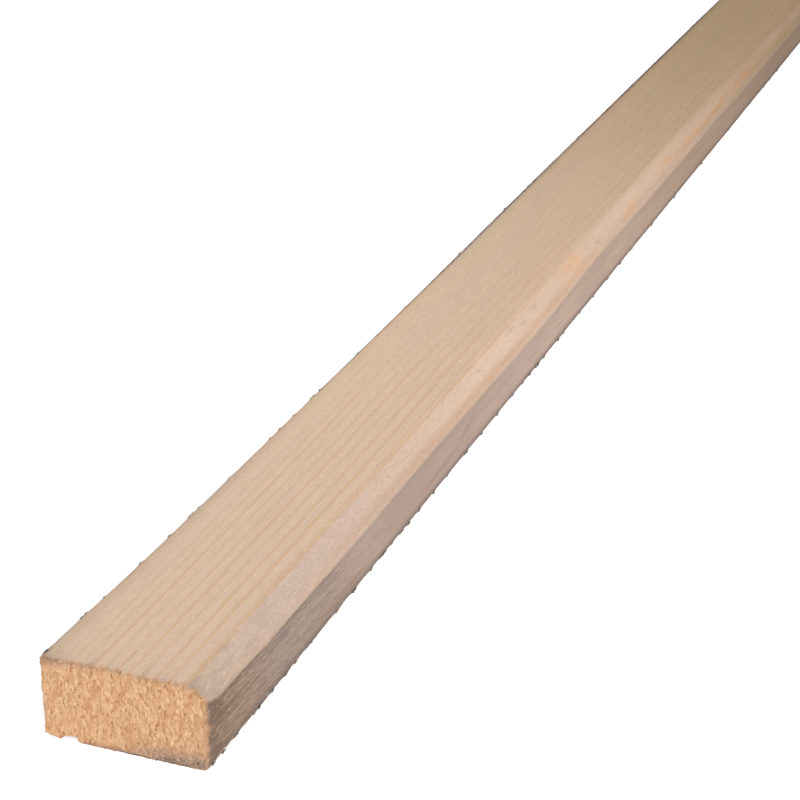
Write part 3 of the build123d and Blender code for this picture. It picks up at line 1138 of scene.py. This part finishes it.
def fibre_material(piece, name, dark, light, width):
    """Two colours streaked along the grain, with a fine bump."""
    shader, place = start_material(piece, name)
    streak = grain(place, 4.0, width, 2.0)
    bump = made_by(place.tree, "Bump", {"Height": streak, "Distance": 0.0001, "Strength": 0.6})
    feed(shader, {"Base Color": blend(streak.ramp(0.35, 0.65), dark, light), "Normal": bump,
                  "Roughness": streak.ramp(0.3, 0.7, 0.65, 0.9), "Specular IOR Level": 0.2})


fibre_material(fringe_piece, "weathered_fibre", (0.05, 0.034, 0.025), (0.15, 0.105, 0.078), 1.4)
fibre_material(nap_piece, "nap_fibre", (0.17, 0.10, 0.065), (0.52, 0.40, 0.31), 0.7)
fibre_material(rim_piece, "fresh_fibre", (0.36, 0.17, 0.08), (0.64, 0.43, 0.27), 1.2)
fibre_material(splinter, "bark_sliver", (0.28, 0.09, 0.045), (0.46, 0.20, 0.10), 0.8)
print("materials:", len(bpy.data.materials))

# %% [markdown]
# The floor is plain and pale, like a lit table, and so large that no view sees its edge. It glows
# a little, so that it stays pale where the lamp's light falls off.

# %% Floor
FLOOR_HALF = 40.0
corners = [(-FLOOR_HALF, -FLOOR_HALF, 0), (FLOOR_HALF, -FLOOR_HALF, 0),
           (FLOOR_HALF, FLOOR_HALF, 0), (-FLOOR_HALF, FLOOR_HALF, 0)]
floor_mesh = bpy.data.meshes.new("floor")
floor_mesh.from_pydata(corners, [], [(0, 1, 2, 3)])
floor = new_object("floor", floor_mesh)
floor_white = bpy.data.materials.new("floor_white")
floor_white.use_nodes = True
glow = made_by(floor_white.node_tree, "LightPath", output="Is Camera Ray") * 0.24 + 0.42
feed(floor_white.node_tree.nodes["Principled BSDF"], {
    "Base Color": (0.86, 0.86, 0.86), "Roughness": 0.9,
    "Emission Color": (1, 1, 1), "Emission Strength": glow})
floor_mesh.materials.append(floor_white)
print("floor half size, m:", FLOOR_HALF)

# %% [markdown]
# The strip was lit from near the camera: a soft lamp in front of its near end, high and a little to
# the right, so the light falls off along the strip. A pale sky fills the shadows, and three panels
# overhead keep the far half bright enough for the views from all round.

# %% Light


def panel(name, place, target, size, power, spread=180):
    """A square soft light at a place in metres, turned to face its target, its beam this wide."""
    light = bpy.data.lights.new(name, "AREA")
    light.shape, light.size, light.energy = "SQUARE", size, power
    light.spread = math.radians(spread)
    away = np.array(place) - np.array(target)
    away /= np.linalg.norm(away)
    right = np.cross([0.0, 0.0, 1.0], away)
    right /= np.linalg.norm(right)
    turned = np.eye(4)
    turned[:3, :3] = np.stack([right, np.cross(away, right), away], axis=1)
    turned[:3, 3] = place
    new_object(name, light).matrix_world = Matrix(turned)


panel("near_lamp", (-1.72, -0.60, 0.80), (-1.07, 0.0, 0.0), 0.8, 2.4, spread=40)
panel("overhead", (0.2, 0.3, 2.6), (0.2, 0.0, 0.0), 2.6, 15.0)
panel("middle_lamp", (0.15, 0.05, 1.2), (0.15, 0.0, 0.0), 0.9, 1.5, spread=50)
panel("far_lamp", (0.90, 0.05, 1.2), (0.90, 0.0, 0.0), 0.9, 1.5, spread=50)
world = bpy.data.worlds.new("studio")
bpy.context.scene.world = world
world.use_nodes = True
sky = made_by(world.node_tree, "LightPath", output="Is Camera Ray") * 0.65 + 0.2
feed(world.node_tree.nodes["Background"], {"Color": (1, 1, 1), "Strength": sky})
bpy.context.scene.view_settings.view_transform = "Standard"

# %% [markdown]
# The camera's place was worked out from the photograph: the strip's corners and the way its edges
# draw together fix where it stood and how long its lens was.

# %% Camera
camera_data = bpy.data.cameras.new("camera")
camera_data.lens, camera_data.sensor_width = 95.942, 36.0
camera_data.clip_start, camera_data.clip_end = 0.02, 200.0
camera = new_object("camera", camera_data)
view = np.eye(4)
view[:3, 0] = (0.3482678, -0.93733685, 0.01044844)
view[:3, 1] = (0.37378025, 0.14908272, 0.91545763)
view[:3, 2] = (-0.85964985, -0.314919, 0.40227872)
view[:3, 3] = (-1.55126, -0.18155, 0.24535)
camera.matrix_world = Matrix(view)
bpy.context.scene.camera = camera
print("camera at", view[:3, 3], "lens", camera_data.lens)
